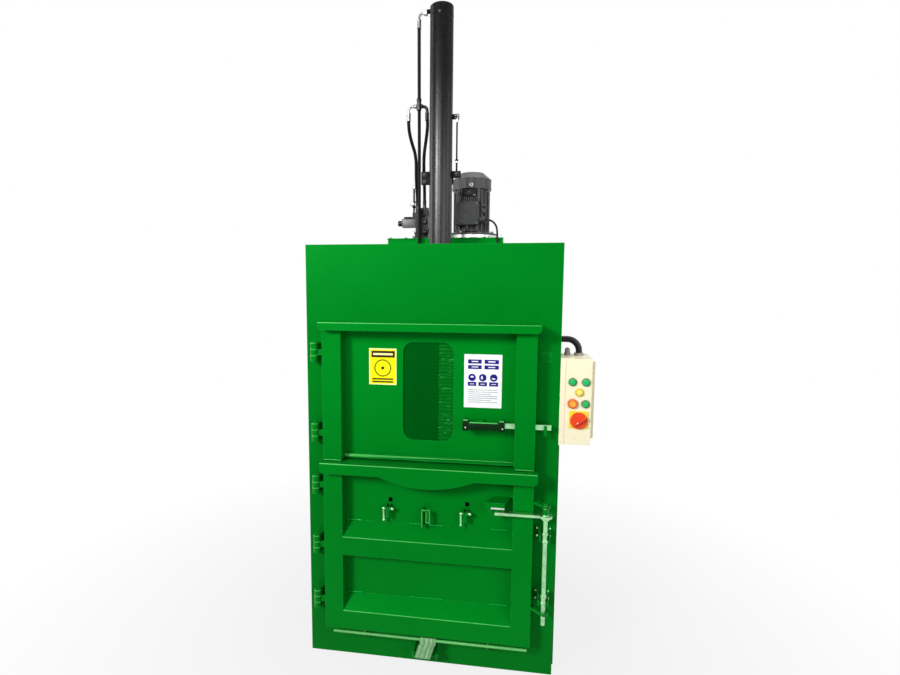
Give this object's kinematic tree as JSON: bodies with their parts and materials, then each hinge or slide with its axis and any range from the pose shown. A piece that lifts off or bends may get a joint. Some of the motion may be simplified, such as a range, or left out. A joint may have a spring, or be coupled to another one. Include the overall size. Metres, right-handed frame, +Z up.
{
  "type": "recycling baler",
  "caption": "Vertical recycling baler: two side-hinged doors with latch and lock, press cylinder with platen, hydraulic power unit and control box.",
  "frame": {"origin": "on the floor under the axis of the press cylinder, on the middle skid's underside", "axes": "+Z up, front of the machine towards -Y, control box on the +X side"},
  "size_m": [1.1338, 0.87, 2.722],
  "materials": {
    "green_paint": "satin",
    "black_paint": "satin",
    "motor_grey": "satin",
    "plated_steel": "satin",
    "chrome_rod": "polished",
    "black_rubber": "matt",
    "black_plastic": "matt",
    "webbing": "woven",
    "tinted_pane": "gloss",
    "green_plastic": "gloss",
    "cream_paint": "satin",
    "yellow_plastic": "gloss",
    "red_plastic": "gloss"
  },
  "bodies": {
    "machine": {"front_plate": "green_paint", "left_wall": "green_paint", "right_wall": "green_paint", "back_wall": "green_paint", "chamber_floor": "green_paint", "base_skids": "green_paint", "top_deck": "green_paint", "cylinder_barrel": "black_paint", "cylinder_cap": "black_paint", "rod_gland": "black_paint", "hinge_knuckles": "green_paint", "hinge_pins": "plated_steel", "rod_saddles": "green_paint", "strap_rail": "plated_steel", "strap_bracket": "green_paint", "ejector_strap": "webbing", "oil_tank": "green_paint", "tank_lid": "green_paint", "tank_breather": "black_plastic", "valve_block": "black_paint", "valve_solenoid": "black_plastic", "motor_body": "motor_grey", "fan_cowl": "motor_grey", "terminal_box": "motor_grey", "oil_pump": "black_paint", "pressure_hose": "black_rubber", "return_hose": "black_rubber", "link_hose": "black_rubber", "hose_fittings": "black_paint", "motor_cable": "black_rubber", "barrel_collar": "black_paint", "control_box": "cream_paint", "box_lid": "cream_paint", "signal_lamp": "yellow_plastic", "box_glands": "black_plastic", "control_conduit": "black_rubber"},
    "press_ram": {"platen": "green_paint", "piston_rod": "chrome_rod"},
    "upper_door": {"upper_door_frame": "green_paint", "upper_door_panel": "green_paint", "window_pane": "tinted_pane", "window_comb": "green_plastic"},
    "upper_latch": {"latch_bar": "plated_steel", "latch_handle": "black_plastic"},
    "lower_door": {"lower_door_frame": "green_paint", "lower_door_panel": "green_paint", "rail_slopes": "green_paint", "lock_lugs": "green_paint", "strap_brackets": "green_paint"},
    "lower_lock": {"lock_rod": "plated_steel", "lock_lever": "plated_steel"},
    "brake_left": {"brake_lever_left": "plated_steel"},
    "brake_right": {"brake_lever_right": "plated_steel"},
    "button_up": {"button_up": "green_plastic"},
    "button_down": {"button_down": "green_plastic"},
    "button_start": {"button_start": "green_plastic"},
    "stop_button": {"stop_button": "red_plastic"},
    "isolator": {"isolator_knob": "red_plastic"},
    "motor_rotor": {"motor_shaft": "plated_steel", "cooling_fan": "black_plastic"}
  },
  "joints": [
    {"name": "upper_door_hinge", "type": "hinge", "parent": "machine", "child": "upper_door", "pos_m": [-0.457, -0.355, 1.12], "axis": [0, 0, -1], "range_deg": [0, 110]},
    {"name": "lower_door_hinge", "type": "hinge", "parent": "machine", "child": "lower_door", "pos_m": [-0.457, -0.355, 0.5], "axis": [0, 0, -1], "range_deg": [0, 110]},
    {"name": "upper_latch_slide", "type": "slide", "parent": "upper_door", "child": "upper_latch", "axis": [-1, 0, 0], "range_m": [0, 0.032]},
    {"name": "lower_lock_turn", "type": "hinge", "parent": "lower_door", "child": "lower_lock", "pos_m": [0.453, -0.4, 0.5], "axis": [0, 0, 1], "range_deg": [0, 100]},
    {"name": "brake_left_swing", "type": "hinge", "parent": "lower_door", "child": "brake_left", "pos_m": [-0.16, -0.354, 0.661], "axis": [-1, 0, 0], "range_deg": [0, 60]},
    {"name": "brake_right_swing", "type": "hinge", "parent": "lower_door", "child": "brake_right", "pos_m": [0.15, -0.354, 0.661], "axis": [-1, 0, 0], "range_deg": [0, 60]},
    {"name": "press_stroke", "type": "slide", "parent": "machine", "child": "press_ram", "axis": [0, 0, -1], "range_m": [0, 0.85]},
    {"name": "button_up_push", "type": "slide", "parent": "machine", "child": "button_up", "axis": [0, 1, 0], "range_m": [0, 0.004], "stiffness_N_per_m": 300},
    {"name": "button_down_push", "type": "slide", "parent": "machine", "child": "button_down", "axis": [0, 1, 0], "range_m": [0, 0.004], "stiffness_N_per_m": 300},
    {"name": "button_start_push", "type": "slide", "parent": "machine", "child": "button_start", "axis": [0, 1, 0], "range_m": [0, 0.004], "stiffness_N_per_m": 300},
    {"name": "stop_button_push", "type": "slide", "parent": "machine", "child": "stop_button", "axis": [0, 1, 0], "range_m": [0, 0.005], "stiffness_N_per_m": 400},
    {"name": "isolator_turn", "type": "hinge", "parent": "machine", "child": "isolator", "pos_m": [0.5722, -0.32, 1.0439], "axis": [0, 1, 0], "range_deg": [0, 90]},
    {"name": "motor_spin", "type": "hinge", "parent": "machine", "child": "motor_rotor", "pos_m": [0.117, 0.3, 1.9], "axis": [0, 0, 1], "continuous": true}
  ]
}
